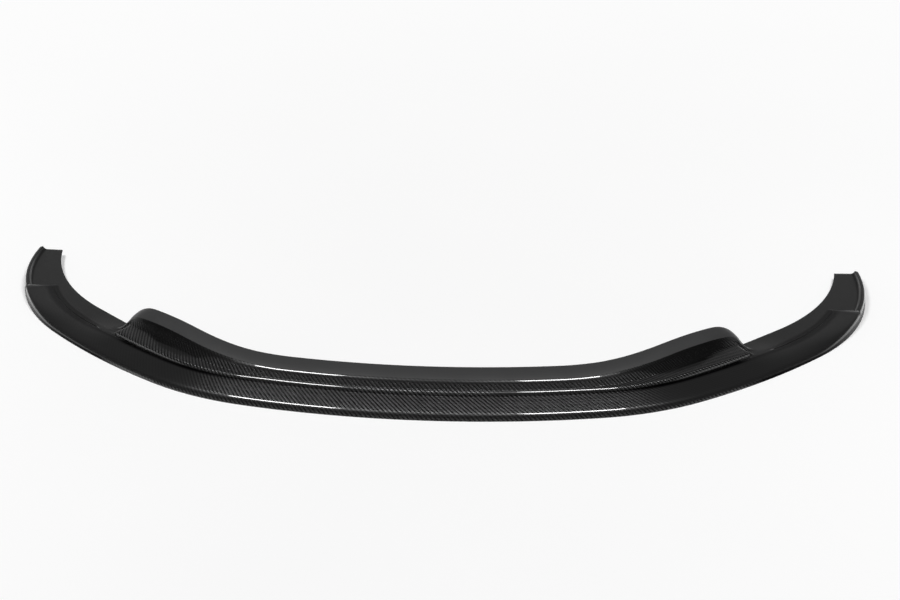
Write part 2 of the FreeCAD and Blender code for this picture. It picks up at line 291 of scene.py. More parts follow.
class LipStudio(bpy.types.PropertyGroup):
    """Camera, lamps and floor."""

    camera_place: point("Camera place", (0.1687, -2.5213, 1.2625), "Where the camera stands")
    camera_aim: point("Camera aim", (0.0225, 0.1637, 0.0), "Where the camera looks")
    camera_roll: angle("Camera roll", 0.507, "Lean of the camera")
    lens: bpy.props.FloatProperty(
        name="Lens",
        description="Focal length",
        default=60.0,
        min=1.0,
        subtype="DISTANCE_CAMERA",
        unit="CAMERA",
    )
    left_lamp: point("Left lamp", (-1.50, -1.10, 3.4), "Middle of the soft box on the left")
    right_lamp: point("Right lamp", (1.15, -1.10, 3.4), "Middle of the soft box on the right")
    lamp_width: length("Lamp width", 1.12, "Long side of each soft box")
    lamp_depth: length("Lamp depth", 0.5, "Short side of each soft box")
    lamp_turn: angle("Lamp turn", 20.0, "Turn in plan of each soft box's long side, towards the part")
    lamp_power: amount("Lamp power", 68.5, "Power of each soft box in watts")
    floor_colour: colour("Floor colour", (0.92, 0.92, 0.92), "Pale studio floor")
    floor_radius: length("Floor radius", 30.0, "Radius of the floor")
    pool_place: point("Pool place", (-0.064, -0.857, 0.0), "Middle of the pool of lamp light on the floor")
    pool_reach: length("Pool reach", 3.92, "How far out the pool of lamp light has faded to a quarter")
    far_light: amount("Far light", 0.8975, "Brightness of the floor far from the pool, as it is seen")
    room_light: amount("Room light", 0.075, "Brightness of the room overhead")
    wall_light: amount("Wall light", 0.05, "Brightness that the wall behind the part adds")
    backdrop_light: amount("Backdrop light", 0.75, "Brightness that the low backdrop behind the part adds")


def mix(first, last, part):
    """Value that is first at part 0 and last at part 1."""
    return first + (last - first) * part


def ramp(value, start, end):
    """Share of the way from start to end, held between 0 and 1."""
    return np.clip((value - start) / (end - start), 0.0, 1.0)


def ease(value, start, end):
    """Smooth share 3t^2 - 2t^3 of the way from start to end."""
    part = ramp(value, start, end)
    return part * part * (3.0 - 2.0 * part)


def nose(part):
    """Quarter of an ellipse, sqrt(1 - t^2): 1 at part 0, falling to 0 at part 1."""
    return np.sqrt(np.clip(1.0 - part * part, 0.0, 1.0))


def plan_arcs(plan):
    """Radius and turn of the four arcs of the half rim line, from the middle to the tip."""
    return (
        (plan.front_radius, plan.front_turn),
        (plan.shoulder_radius, plan.shoulder_turn),
        (plan.flank_radius, plan.flank_turn),
        (plan.corner_radius, plan.corner_turn),
    )


def half_length(plan):
    """Length of the half rim line: the sum of radius times turn."""
    return sum(radius * turn for radius, turn in plan_arcs(plan))


def rim_line(plan, station):
    """Place and heading of the rim line at each station of one half.

    Along an arc of radius r the heading h grows by length / r, and the point moves by
    r (sin h1 - sin h0) across and r (cos h0 - cos h1) back.
    """
    x = np.zeros_like(station)
    y = np.zeros_like(station)
    heading = np.zeros_like(station)
    left = station.copy()
    for radius, turn in plan_arcs(plan):
        run = np.minimum(left, radius * turn)
        after = heading + run / radius
        x += radius * (np.sin(after) - np.sin(heading))
        y += radius * (np.cos(heading) - np.cos(after))
        heading = after
        left -= run
    return x, y, heading


def half_stations(plan):
    """Stations of one half, drawn together where the section changes quickly.

    Each stretch is even, apart from the fin's nose, which closes up towards its end as t (2 - t).
    """
    ends = (
        plan.sweep_start,
        plan.fin_end - plan.crest_nose,
        plan.fin_end,
        plan.fin_end + plan.fin_skew,
        plan.fin_end + plan.fin_skew + plan.fin_ramp,
        plan.pocket_start,
        plan.pocket_start + plan.pocket_ramp,
        half_length(plan),
    )
    pieces = [np.zeros(1)]
    for index, (end, steps) in enumerate(zip(ends, STRETCH_STEPS)):
        part = np.arange(1, steps + 1) / steps
        if index == NOSE_STRETCH:
            part = part * (2.0 - part)
        pieces.append(mix(pieces[-1][-1], end, part))
    return np.concatenate(pieces)


def pair(depth, height, like):
    """Corner as an array of (depth, height) for every station."""
    return np.stack(np.broadcast_arrays(depth + 0.0 * like, height + 0.0 * like), axis=-1)


def front_corners(plan, sec, station):
    """Corners of the section between the fins: rim, blade, step, riser or scoop, crest, flange.

    Sizes go from their middle value to their fin value by an eased share; the crest's height falls and
    the flange narrows as quarters of an ellipse at the fin's end.
    """
    fin = ease(station, plan.sweep_start, plan.sweep_end)
    turn = ease(station, plan.blade_turn_start, plan.fin_end)
    crest_end = plan.fin_end + plan.fin_skew
    fall = ramp(station, crest_end - plan.crest_nose, crest_end)
    width = flange_width(plan, station)
    blade = pair(
        mix(sec.blade_depth_front, sec.blade_depth_fin, turn),
        mix(sec.blade_top_front, sec.blade_top_fin, turn),
        station,
    )
    ridge = pair(blade[:, 0] + mix(sec.step_run_front, sec.step_run_fin, turn), sec.ridge_height, station)
    crest = pair(
        mix(mix(sec.crest_depth_front, sec.crest_depth_fin, fin), sec.root_depth, fall * fall),
        mix(sec.root_height, mix(sec.crest_height_front, sec.crest_height_fin, fin), nose(fall)),
        station,
    )
    knee_share = pair(
        mix(sec.riser_knee_run, sec.scoop_knee_run, fin),
        mix(sec.riser_knee_rise, sec.scoop_knee_rise, fin),
        station,
    )
    knee = mix(ridge, crest, knee_share)
    edge = crest + pair(
        mix(sec.flange_run_front, sec.flange_run_fin, fin) * width + sec.flange_tip_run,
        mix(sec.flange_rise_front, sec.flange_rise_fin, fin) * width,
        station,
    )
    foot = pair(0.0, 0.0, station)
    rim = pair(sec.rim_lean, sec.rim_height, station)
    return np.stack([foot, rim, blade, ridge, knee, crest, edge])


def wing_corners(plan, sec, station):
    """Corners of a wing section: rim, blade up to the crease, joggle, then a level floor to the inner edge.

    The rim rises towards the pocket, and the crease starts where the fin's step ends.
    """
    rise = ease(station, plan.wall_start, plan.pocket_start)
    settle = ease(station, plan.fin_end, plan.fin_end + plan.crease_ease)
    rim_top = pair(
        mix(sec.rim_lean, sec.pocket_wall_lean, rise),
        mix(sec.rim_height, sec.pocket_wall_height, rise),
        station,
    )
    foot = pair(
        mix(sec.blade_depth_fin, sec.crease_depth, settle) + sec.joggle_run,
        mix(sec.blade_top_fin - sec.joggle_drop, sec.wing_floor, settle),
        station,
    )
    crease = foot + pair(-sec.joggle_run, sec.joggle_drop, station)
    return np.stack([pair(0.0, 0.0, station), rim_top, crease] + level_floor(plan, sec, station, foot))


def pocket_corners(plan, sec, station):
    """Corners of a pocket section: the rim's wall, its top edge, and the floor that reaches out to it."""
    wall = pair(sec.pocket_wall_lean, sec.pocket_wall_height, station)
    top = pair(sec.pocket_rim_depth, sec.pocket_rim_height, station)
    foot = pair(sec.pocket_rim_depth + sec.pocket_joggle, sec.wing_floor, station)
    return np.stack([pair(0.0, 0.0, station), wall, top] + level_floor(plan, sec, station, foot))


def level_floor(plan, sec, station, foot):
    """Four corners of the floor, from its foot to the inner edge of the tapering wing."""
    taper = ramp(station, plan.taper_start, half_length(plan)) ** sec.taper_power
    inner = pair(mix(sec.wing_depth, sec.tip_depth, taper), sec.wing_floor, station)
    return [mix(foot, inner, part) for part in FLOOR_SHARES]


def section_corners(plan, sec, station):
    """Corners of the outer skin at every station: front, eased into wing, eased into pocket.

    The fin ends on a slant: each corner turns into the wing's later by its share of the skew.
    """
    front = front_corners(plan, sec, np.minimum(station, plan.fin_end + plan.fin_skew))
    wing = wing_corners(plan, sec, station)
    pocket = pocket_corners(plan, sec, station)
    late = station - plan.fin_skew * np.array(SKEW_SHARES)[:, None]
    to_wing = ease(late, plan.fin_end, plan.fin_end + plan.fin_ramp)[..., None]
    to_pocket = ease(station, plan.pocket_start, plan.pocket_start + plan.pocket_ramp)[:, None]
    return mix(mix(front, wing, to_wing), pocket, to_pocket)


def sunk_corners(corners, depth):
    """Corners of the inner skin: each one moved along its mitre by the laminate's depth."""
    run = np.diff(corners, axis=0)
    run /= np.linalg.norm(run, axis=-1, keepdims=True)
    normal = np.stack([-run[..., 1], run[..., 0]], axis=-1)
    before = normal[:-1]
    after = normal[1:]
    reach = depth / (1.0 + np.sum(before * after, axis=-1, keepdims=True))
    sunk = corners.copy()
    sunk[0, :, 0] += depth
    sunk[1:-1] -= reach * (before + after)
    sunk[-1] -= depth * normal[-1]
    return sunk


def flange_width(plan, station):
    """Share of the flange's full width: 1 along the fins, falling to 0 where they end."""
    crest_end = plan.fin_end + plan.fin_skew
    return nose(ramp(station, crest_end - plan.flange_nose, crest_end))


def band_pulls(plan, sec, station, corners, sink):
    """Points that draw the blade and the upper flange out of the straight.

    The blade's point lies just above its middle in front, and near the rim on the wings.
    """
    middle = mix(corners[RIM], corners[STEP], 0.5) + pair(0.0, sec.blade_bow, station)
    roll = ease(station, plan.roll_start, plan.roll_end)
    roll = roll * (1.0 - ease(station, plan.pocket_start, plan.pocket_start + plan.pocket_ramp))
    blade = mix(middle, pair(sec.roll_depth + sink, sec.roll_height - sink, station), roll[:, None])
    lift = sec.flange_bow * flange_width(plan, station)
    flange = mix(corners[CREST], corners[EDGE], 0.5) + pair(0.0, lift, station)
    return blade, flange


def corner_rounds(plan, sec, station):
    """Rounding at each corner of the loop, for every station."""
    fin = ease(station, plan.sweep_start, plan.sweep_end)
    on_wing = ease(station, plan.fin_end, plan.fin_end + plan.crease_ease)
    on_wing = on_wing * (1.0 - ease(station, plan.pocket_start, plan.pocket_start + plan.pocket_ramp))
    step = mix(sec.step_round, sec.wing_round, on_wing)
    ridge = mix(sec.ridge_round, sec.wing_round, on_wing)
    knee = mix(sec.knee_round, sec.scoop_round, fin)
    cut = sec.cut_round
    hollow = sec.hollow_round
    sizes = (
        cut, sec.rim_round, step, ridge, knee, sec.crest_round, cut,
        cut, sec.crest_round, knee, hollow, hollow, hollow, cut,
    )
    return np.stack([size + 0.0 * station for size in sizes])


def section_loop(plan, sec, station):
    """Closed outline of the wall at every station, and the home of each point on it.

    The outline goes up the outer skin, over the trimmed edge, down the inner skin and back along the foot.
    Every band and rounded corner is the curve (1-t)^2 A + 2t(1-t) C + t^2 B. At a corner C is the corner
    itself, and A and B lie on the runs beside it. On a band C is its pull point, or the middle of a straight
    run. Returns points (stations, loop, 2) and their homes: a corner's number, or a half more on the band
    after that corner.
    """
    outer = section_corners(plan, sec, station)
    inner = sunk_corners(outer, sec.wall)
    corners = np.concatenate([outer, inner[::-1]])
    count = len(corners)
    blade, flange = band_pulls(plan, sec, station, outer, 0.0)
    inner_blade, inner_flange = band_pulls(plan, sec, station, inner, sec.wall)
    pulls = dict(zip(BLADE_BANDS + FLANGE_BANDS, (blade, inner_blade, flange, inner_flange)))
    ahead = np.roll(corners, -1, axis=0)
    behind = np.roll(corners, 1, axis=0)
    for band, pull in pulls.items():
        ahead[band] = pull
        behind[band + 1] = pull
    size = corner_rounds(plan, sec, station)
    limit = np.full((count, 1), ROUND_SHARE)
    limit[RIDGE] = RIDGE_ROUND_SHARE
    part_ahead = np.minimum(size / np.linalg.norm(ahead - corners, axis=-1), limit)
    part_behind = np.minimum(size / np.linalg.norm(behind - corners, axis=-1), limit)
    leave = mix(corners, ahead, part_ahead[..., None])
    arrive = mix(corners, behind, part_behind[..., None])
    rows = []
    home = []
    for index in range(count):
        rows.append(bow(arrive[index], corners[index], leave[index], ROUND_STEPS[index]))
        end = arrive[(index + 1) % count]
        pull = pulls.get(index, mix(leave[index], end, 0.5))
        rows.append(bow(leave[index], pull, end, BAND_STEPS[index]))
        home += [index] * ROUND_STEPS[index] + [index + 0.5] * BAND_STEPS[index]
    return np.concatenate(rows).transpose(1, 0, 2), np.array(home)


def bow(first, pull, last, steps):
    """Points of the curve (1-t)^2 A + 2t(1-t) C + t^2 B at even t, without its end."""
    t = (np.arange(steps) / steps)[:, None, None]
    return (1 - t) ** 2 * first + 2 * t * (1 - t) * pull + t * t * last


def shell_grid(plan, sec):
    """Points (stations, loop, 3) of the whole shell from tip to tip, with cloth places and loop homes.

    A loop point of depth d and height z at a station with place (x, y) and heading h goes to
    (x - d sin h, y + d cos h, z). The other half is its mirror image in X. The last station at each tip
    draws the outer and inner skins together a little, which rounds the cut end.
    """
    station = half_stations(plan)
    end = station[-1]
    station = np.concatenate([station[:-1], [end - sec.cut_round, end]])
    loop, home = section_loop(plan, sec, station)
    outer_count = np.searchsorted(home, EDGE + 0.5)
    inner_count = len(home) - outer_count
    outward = np.linspace(0.0, 1.0, outer_count)
    inward = np.linspace(1.0, 0.0, inner_count)
    partner = np.concatenate(
        [
            len(home) - 1 - np.round(outward * (inner_count - 1)).astype(int),
            np.round(inward * (outer_count - 1)).astype(int),
        ]
    )
    loop[-1] = mix(loop[-1], loop[-1][partner], TIP_ROUND_SHARE)
    x, y, heading = rim_line(plan, station)
    depth = loop[..., 0]
    half = np.stack(
        [
            x[:, None] - depth * np.sin(heading)[:, None],
            y[:, None] + depth * np.cos(heading)[:, None],
            loop[..., 1],
        ],
        axis=-1,
    )
    mirror = half[:0:-1] * np.array([-1.0, 1.0, 1.0])
    points = np.concatenate([mirror, half])
    low = points[..., 1].min()
    high = points[..., 1].max()
    points[..., 1] -= 0.5 * (low + high)
    steps = np.linalg.norm(np.diff(loop, axis=1), axis=-1)
    across = np.concatenate([np.zeros((len(station), 1)), np.cumsum(steps, axis=1)], axis=1)
    along = np.broadcast_to(station[:, None], across.shape)
    cloth_half = np.stack([along, across], axis=-1)
    cloth_mirror = cloth_half[:0:-1] * np.array([-1.0, 1.0])
    return points, np.concatenate([cloth_mirror, cloth_half]), home


def stretch(away, first, full, fall, last):
    """Share that rises from first to full and falls again from fall to last."""
    return ease(away, first, full) * (1.0 - ease(away, fall, last))


def past_fin(plan, away):
    """Share of the way from the fin's end to the wing."""
    return ease(away, plan.fin_end, plan.fin_end + plan.fin_skew)


def outer_wall(plan, away, home):
    """Share of the rim's upright wall, from the fins on along the wings."""
    return ease(away, plan.sweep_end, plan.fin_end) * (home < RIM)


def keyed_and_painted_light_share(plan, away, home):
    """Keyed, satin finish on the upper flange as far as the wings; on the pocket's lip the same lighter satin
    is painted light over a dark line of shade.
    """
    flange = (1.0 - past_fin(plan, away)) * ((home > CREST) & (home < EDGE + 1))
    start = plan.pocket_start
    end = start + plan.pocket_ramp
    # The pocket's lip: painted light that lifts the dark shading at the ramp's edge
    lip = stretch(away, start - LIP_FADE, start, end, end + LIP_FADE)
    return np.maximum(flange, lip * ((home >= RIM) & (home <= RIDGE)))


def hollow_share(plan, away, home):
    """Uncoated cloth: step, crease on the wings, riser's knee, outer wall and the foot of the fin's nose."""
    on_step = (home >= STEP) & ((home < RIDGE) | ((home == RIDGE) & (away > plan.fin_end)))
    step = mix(1.0, CREASE_BARE, past_fin(plan, away)) * on_step
    knee = (1.0 - ease(away, plan.sweep_start, plan.sweep_end)) * (home == KNEE)
    foot_ends = [plan.fin_end + part * plan.fin_skew for part in FIN_FOOT_SHARES]
    foot = stretch(away, *foot_ends) * (home > RIDGE)
    return np.maximum.reduce([step, knee, foot, outer_wall(plan, away, home)])


def even_tone_and_shade_share(plan, away, home):
    """Even dark tone in place of the weave: painted shade on the wings and beside the fins, and a plain tone
    on the rounds that gleam.
    """
    blade = ease(away, plan.even_shade_start, plan.even_shade_full) * ((home >= RIM) & (home < RIDGE))
    wing = past_fin(plan, away) * (home < EDGE + 1)
    start = plan.gleam_start
    end = plan.gleam_end
    gleam = stretch(away, start, start + GLEAM_FADE, end - GLEAM_FADE, end)
    crest = CREST_EVEN_TONE * (home == CREST)
    rim = RIM_EVEN_TONE * (home == RIM)
    ridge = RIDGE_EVEN_TONE * gleam * (home == RIDGE)
    return np.maximum(EVEN_SHADE_MOST * np.maximum(blade, wing), crest + rim + ridge)


def painted_shade_share(plan, away, across, home):
    """Painted shade and dark reflection: the step, darkest beside the fins, the outer wall and a lens under
    each fin's crest.
    """
    # Painted shade on the step: faint across the middle, darkest beside the fins
    step = mix(STEP_SHADE, 1.0, ease(away, plan.sweep_start, plan.even_shade_full))
    step = step * (1.0 - ease(away, plan.fin_end - plan.fin_skew, plan.fin_end))
    step = step * ((home >= STEP) & (home < RIDGE))
    return np.maximum.reduce([step, outer_wall(plan, away, home), lens_share(plan, away, across, home)])


def lens_share(plan, away, across, home):
    """Lens of painted shade and dark reflection under the crest of each fin.

    With q going from 0 at the crest to 1 at the ridge, the lens reaches down to q = b; b grows along the
    sweep, and falls again towards the fin's end.
    """
    crest = across[:, home == CREST].min(axis=1, keepdims=True)
    ridge = across[:, home == RIDGE].max(axis=1, keepdims=True)
    down = (crest - across) / (crest - ridge)
    reach = ease(away, plan.lens_start, plan.lens_full)
    reach = reach * mix(*LENS_REACH, ease(away, plan.lens_full + LENS_HOLD, plan.lens_end))
    inner_edge, outer_edge = LENS_EDGE
    lens = (1.0 - ramp(down, reach + inner_edge, reach + outer_edge)) * ((home > RIDGE) & (home <= CREST))
    deep = mix(*LENS_SHADE, ease(away, plan.lens_start, plan.lens_end))
    return lens * deep * (reach > 0.0) * (1.0 - ease(away, plan.lens_end, plan.fin_end))


def finish_shares(plan, cloth, home):
    """Share of each finish, and of the painted light and shade, at every grid point, by the name of its
    attribute.
    """
    away = np.abs(cloth[:, :1, 0])
    return {
        "keyed_and_painted_light": keyed_and_painted_light_share(plan, away, home),
        "hollow": hollow_share(plan, away, home),
        "even_tone_and_shade": even_tone_and_shade_share(plan, away, home),
        "painted_shade": painted_shade_share(plan, away, cloth[..., 1], home),
    }


def skin_faces(rows, columns):
    """Quads of a grid that is closed round its columns, and the two end faces."""
    row = np.arange(rows - 1)[:, None] * columns
    column = np.arange(columns)[None, :]
    after = (column + 1) % columns
    above = row + columns
    quads = np.stack([row + column, row + after, above + after, above + column], axis=-1)
    first = np.arange(columns)
    last = (rows - 1) * columns + first[::-1]
    return quads.reshape(-1, 4), first, last


def new_mesh(name, points, quads, ends):
    """Mesh from points, quads and two many-sided end faces, turned so that the faces point outwards."""
    corner = points[quads]
    volume = np.einsum("ij,ij->i", corner[:, 0], np.cross(corner[:, 1], corner[:, 2])).sum()
    volume += np.einsum("ij,ij->i", corner[:, 0], np.cross(corner[:, 2], corner[:, 3])).sum()
    if volume < 0.0:
        quads = quads[:, ::-1]
    else:
        ends = [end[::-1] for end in ends]
    mesh = bpy.data.meshes.new(name)
    mesh.from_pydata(points, [], quads.tolist() + [end.tolist() for end in ends])
    mesh.update()
    return mesh


def add_attribute(mesh, name, kind, field, values):
    """Point attribute filled from an array."""
    attribute = mesh.attributes.new(name, kind, "POINT")
    attribute.data.foreach_set(field, np.ascontiguousarray(values, np.float32).ravel())


class NodeBench:
    """Short way to add and join the nodes of one tree."""

    def __init__(self, tree):
        self.tree = tree

    def add(self, kind, **settings):
        """New node with its settings."""
        node = self.tree.nodes.new(kind)
        for name, value in settings.items():
            setattr(node, name, value)
        return node

    def feed(self, socket, value):
        """Joins a socket to another one, or sets its value."""
        if isinstance(value, bpy.types.NodeSocket):
            self.tree.links.new(value, socket)
        else:
            socket.default_value = value

    def math(self, operation, first, second=0.0, third=0.0):
        """Output of a Math node."""
        node = self.add("ShaderNodeMath", operation=operation)
        for socket, value in zip(node.inputs, (first, second, third)):
            self.feed(socket, value)
        return node.outputs[0]

    def blend(self, part, first, last):
        """Number between two numbers."""
        node = self.add("ShaderNodeMix", data_type="FLOAT")
        self.feed(node.inputs["Factor"], part)
        self.feed(node.inputs[2], first)
        self.feed(node.inputs[3], last)
        return node.outputs[0]

    def tint(self, part, first, last):
        """Colour between two colours."""
        node = self.add("ShaderNodeMix", data_type="RGBA")
        self.feed(node.inputs["Factor"], part)
        self.feed(node.inputs[6], first)
        self.feed(node.inputs[7], last)
        return node.outputs[2]

    def slope(self, value, start, end, first, last):
        """Number that goes smoothly from first to last while the value goes from start to end."""
        node = self.add("ShaderNodeMapRange", interpolation_type="SMOOTHSTEP")
        names = ("Value", "From Min", "From Max", "To Min", "To Max")
        for name, number in zip(names, (value, start, end, first, last)):
            self.feed(node.inputs[name], number)
        return node.outputs[0]

    def rest(self, part):
        """What a share leaves of 1."""
        return self.math("SUBTRACT", 1.0, part)

    def mask(self, name):
        """Value of one of the shell's own attributes."""
        return self.add("ShaderNodeAttribute", attribute_name=name).outputs["Fac"]

    def swing(self, noise, middle, width):
        """Number that swings with a noise about a middle, over a width."""
        return self.math("MULTIPLY_ADD", noise, width, middle - 0.5 * width)

    def shade(self, tone, value, shades):
        """Colour that goes with a tone from the darkest to the lightest shade of a value."""
        darkest, lightest = (rgba([part * channel for channel in value]) for part in shades)
        return self.tint(tone, darkest, lightest)

    def noise(self, vector, scale, detail=2.0):
        """Value of a Noise texture."""
        node = self.add("ShaderNodeTexNoise")
        self.feed(node.inputs["Vector"], vector)
        self.feed(node.inputs["Scale"], scale)
        self.feed(node.inputs["Detail"], detail)
        return node.outputs[0]


def rgba(value):
    """Colour with full alpha."""
    return (*value, 1.0)


def twill_group():
    """Two-by-two twill: each tow floats over two and dives under two, one place on in every row.

    With tow counts i along and j across, k = (i + j) mod 4; the warp is on top where k < 2.
    A tow's crown is 1 - (2w - 1)^2 across its width w, and it dips at the ends of its float by (2q - 1)^4.
    """
    name = "Twill cloth"
    if name in bpy.data.node_groups:
        return bpy.data.node_groups[name]
    tree = bpy.data.node_groups.new(name, "ShaderNodeTree")
    for socket in ("Along", "Across", "Tow Width"):
        tree.interface.new_socket(socket, in_out="INPUT", socket_type="NodeSocketFloat")
    for socket in ("Height", "Warp", "Tone"):
        tree.interface.new_socket(socket, in_out="OUTPUT", socket_type="NodeSocketFloat")
    bench = NodeBench(tree)
    source = bench.add("NodeGroupInput")
    result = bench.add("NodeGroupOutput")
    along = bench.math("DIVIDE", source.outputs["Along"], source.outputs["Tow Width"])
    across = bench.math("DIVIDE", source.outputs["Across"], source.outputs["Tow Width"])
    i = bench.math("FLOOR", along)
    j = bench.math("FLOOR", across)
    u = bench.math("SUBTRACT", along, i)
    v = bench.math("SUBTRACT", across, j)
    k = bench.math("FLOORED_MODULO", bench.math("ADD", i, j), 4.0)
    warp = bench.math("LESS_THAN", k, 1.5)
    width = bench.blend(warp, v, u)
    weft_run = bench.math("ADD", bench.math("SUBTRACT", k, 2.0), u)
    warp_run = bench.math("ADD", k, v)
    run = bench.math("MULTIPLY", bench.blend(warp, weft_run, warp_run), 0.5)
    side = bench.math("MULTIPLY_ADD", width, 2.0, -1.0)
    crown = bench.rest(bench.math("MULTIPLY", side, side))
    reach = bench.math("MULTIPLY_ADD", run, 2.0, -1.0)
    square = bench.math("MULTIPLY", reach, reach)
    dip = bench.rest(bench.math("MULTIPLY", square, square))
    height = bench.math("MULTIPLY", crown, bench.math("MULTIPLY_ADD", dip, TOW_DIP, 1.0 - TOW_DIP))
    lot = bench.add("ShaderNodeTexWhiteNoise", noise_dimensions="1D")
    bench.feed(lot.inputs["W"], bench.blend(warp, bench.math("ADD", j, 0.5), i))
    bench.feed(result.inputs["Height"], height)
    bench.feed(result.inputs["Warp"], warp)
    bench.feed(result.inputs["Tone"], lot.outputs[0])
    return tree


def new_material(name):
    """Empty material with a shader and its bench."""
    material = bpy.data.materials.new(name)
    material.use_nodes = True
    material.node_tree.nodes.clear()
    bench = NodeBench(material.node_tree)
    shader = bench.add("ShaderNodeBsdfPrincipled")
    output = bench.add("ShaderNodeOutputMaterial")
    bench.feed(output.inputs["Surface"], shader.outputs[0])
    return material, bench, shader


def cloth_place(bench):
    """Places on the shell's own cloth attribute: as a vector, along and across."""
    node = bench.add("ShaderNodeAttribute", attribute_name="cloth")
    split = bench.add("ShaderNodeSeparateXYZ")
    bench.feed(split.inputs[0], node.outputs["Vector"])
    return node.outputs["Vector"], split.outputs[0], split.outputs[1]


def place_twill(bench, finish):
    """Twill group in a material, at this cloth's tow width, with the cloth's own places."""
    cloth, along, across = cloth_place(bench)
    group = bench.add("ShaderNodeGroup", node_tree=twill_group())
    bench.feed(group.inputs["Along"], along)
    bench.feed(group.inputs["Across"], across)
    bench.feed(group.inputs["Tow Width"], finish.tow_width)
    return cloth, group.outputs


def bump(bench, height, distance):
    """Normal from a height, with the distance in metres that a height of 1 stands for."""
    node = bench.add("ShaderNodeBump")
    bench.feed(node.inputs["Height"], height)
    bench.feed(node.inputs["Distance"], distance)
    return node.outputs[0]


def coated_twill(finish):
    """Twill under a clear coat, with four bands of finish, painted light and shade.

    Keyed faces are filled and satin, and the pocket's lip takes the same lighter satin as painted light;
    hollow ones have no coat; even-tone ones show an even dark tone in place of the weave, as painted shade on
    the wings and beside the fins; and painted-shade ones take the dark weft colour as painted shade and dark
    reflection.
    """
    material, bench, shader = new_material("Clear-coated twill")
    place, twill = place_twill(bench, finish)
    keyed_and_painted_light, even_tone_and_shade, hollow, painted_shade = (bench.mask(name) for name in ("keyed_and_painted_light", "even_tone_and_shade", "hollow", "painted_shade"))
    coated = bench.rest(keyed_and_painted_light)
    lit = bench.math("MULTIPLY", coated, bench.rest(painted_shade))
    bare = bench.math("MULTIPLY", lit, bench.rest(even_tone_and_shade))
    light = bench.math("MULTIPLY", twill["Warp"], 1.0 - TOW_TONE)
    light = bench.math("MULTIPLY_ADD", twill["Tone"], TOW_TONE, light)
    cloth = bench.tint(light, rgba(finish.weft_and_shade_colour), rgba(finish.warp_colour))
    # Even dark tone in place of the weave: painted shade on the wings and beside the fins
    cloth = bench.tint(even_tone_and_shade, cloth, rgba(finish.even_tone_and_shade_colour))
    # Painted shade and dark reflection: the weft's dark colour on the step, the outer wall and the lens
    cloth = bench.tint(painted_shade, cloth, rgba(finish.weft_and_shade_colour))
    # Keyed satin on the flange, and painted light on the pocket's lip
    bench.feed(shader.inputs["Base Color"], bench.tint(keyed_and_painted_light, cloth, rgba(finish.keyed_and_painted_light_colour)))
    haze = bench.noise(place, HAZE_SCALE)
    fibre = bench.swing(haze, finish.fibre_roughness, FIBRE_SWING)
    satin = bench.swing(haze, finish.keyed_roughness, SATIN_SWING)
    bench.feed(shader.inputs["Roughness"], bench.blend(keyed_and_painted_light, fibre, satin))
    dull = bench.math("MULTIPLY", bench.math("MAXIMUM", twill["Warp"], even_tone_and_shade), lit)
    dull = bench.math("MULTIPLY", dull, 1.0 - finish.fibre_gloss)
    bench.feed(shader.inputs["Metallic"], bench.math("SUBTRACT", coated, dull))
    bench.feed(shader.inputs["Coat Weight"], bench.math("MULTIPLY", coated, bench.rest(hollow)))
    shader.inputs["Coat Roughness"].default_value = finish.coat_roughness
    shader.inputs["Coat IOR"].default_value = COAT_IOR
    height = bench.math("MULTIPLY", twill["Height"], bare)
    bench.feed(shader.inputs["Normal"], bump(bench, height, finish.crown))
    return material


def raw_laminate(finish):
    """Uncoated hollow side: the same cloth, half drowned in resin of uneven depth."""
    material, bench, shader = new_material("Raw laminate")
    place, twill = place_twill(bench, finish)
    pool = bench.noise(place, POOL_SCALE, detail=4.0)
    cloth_tone, pool_tone = RAW_TONE
    tone = bench.math("MULTIPLY_ADD", twill["Warp"], cloth_tone, bench.math("MULTIPLY", pool, pool_tone))
    bench.feed(shader.inputs["Base Color"], bench.shade(tone, finish.raw_colour, RAW_SHADES))
    bench.feed(shader.inputs["Roughness"], bench.swing(pool, finish.raw_roughness, RAW_SWING))
    cloth_relief, pool_relief = RAW_RELIEF
    cloth = bench.math("MULTIPLY", twill["Height"], cloth_relief)
    height = bench.math("MULTIPLY_ADD", pool, pool_relief, cloth)
    bench.feed(shader.inputs["Normal"], bump(bench, height, finish.crown))
    return material


def cut_laminate(finish):
    """Trimmed edge: the plies show as fine lines along the cut."""
    material, bench, shader = new_material("Cut laminate")
    place, _, across = cloth_place(bench)
    ply = bench.math("SINE", bench.math("MULTIPLY", across, 2.0 * math.pi / finish.ply))
    grain = bench.noise(place, GRAIN_SCALE, detail=3.0)
    ply_tone, grain_tone, base_tone = CUT_TONE
    tone = bench.math("MULTIPLY_ADD", ply, ply_tone, bench.math("MULTIPLY_ADD", grain, grain_tone, base_tone))
    bench.feed(shader.inputs["Base Color"], bench.shade(tone, finish.cut_colour, CUT_SHADES))
    bench.feed(shader.inputs["Roughness"], bench.swing(grain, finish.cut_roughness, CUT_SWING))
    bench.feed(shader.inputs["Normal"], bump(bench, tone, CUT_RELIEF))
    return material


